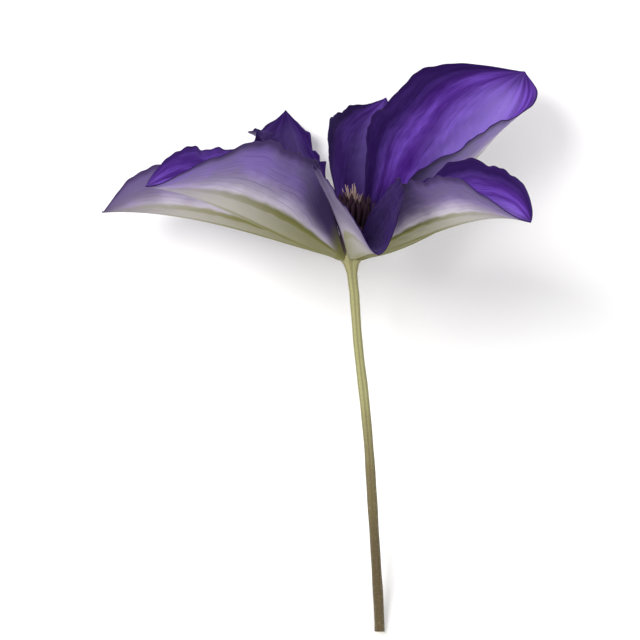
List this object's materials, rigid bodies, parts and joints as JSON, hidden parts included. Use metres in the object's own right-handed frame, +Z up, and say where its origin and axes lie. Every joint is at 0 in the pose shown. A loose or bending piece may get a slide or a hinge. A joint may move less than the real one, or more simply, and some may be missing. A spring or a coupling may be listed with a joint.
{
  "type": "clematis flower",
  "caption": "Picked clematis flower, violet boat-shaped tepals with waved margins round a brush of dark stamens, on a slim ribbed stalk, lying on its side.",
  "frame": {"origin": "middle of the flower's outline on the surface that it lies on", "axes": "+Y runs from the cut end of the stalk towards the bloom, +X to the right seen from above the stalk, +Z up"},
  "size_m": [0.1144, 0.1514, 0.0923],
  "materials": {
    "tepal": "satin",
    "stamen": "matte",
    "pistil": "satin",
    "stalk": "matte"
  },
  "bodies": {
    "root": {"tepal_front": "tepal", "tepal_front_left": "tepal", "tepal_left": "tepal", "tepal_back_left": "tepal", "tepal_back": "tepal", "tepal_back_right": "tepal", "tepal_right": "tepal", "tepal_front_right": "tepal", "stamens": "stamen", "pistils": "pistil", "stalk": "stalk"}
  },
  "joints": []
}
